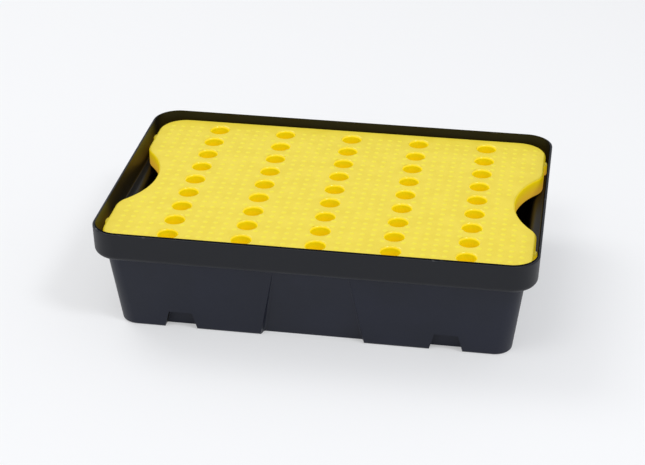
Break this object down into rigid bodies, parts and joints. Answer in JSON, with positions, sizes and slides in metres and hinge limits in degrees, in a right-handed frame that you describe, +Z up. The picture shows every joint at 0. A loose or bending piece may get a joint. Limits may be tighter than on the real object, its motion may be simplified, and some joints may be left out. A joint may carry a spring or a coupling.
{
  "type": "spill containment pallet",
  "caption": "Low rectangular black plastic spill tray with a deep rim, carrying a yellow lift-out deck with round drain holes and a hand cut-out at each end.",
  "frame": {"origin": "centre of the tray's underside, on the surface it stands on", "axes": "+X along the long side, +Y across, +Z up"},
  "size_m": [0.6, 0.41, 0.153],
  "materials": {
    "black_polyethylene": "matte moulded polyethylene, bluish black",
    "yellow_polyethylene": "satin moulded polyethylene, bright yellow, fine raised tread"
  },
  "bodies": {
    "tray": {"sump_tray": "black_polyethylene"},
    "grid": {"lift_out_grid": "yellow_polyethylene"}
  },
  "joints": [
    {"name": "grid_lift", "type": "slide", "parent": "tray", "child": "grid", "axis": [0, 0, 1], "range_m": [0, 0.2]}
  ]
}
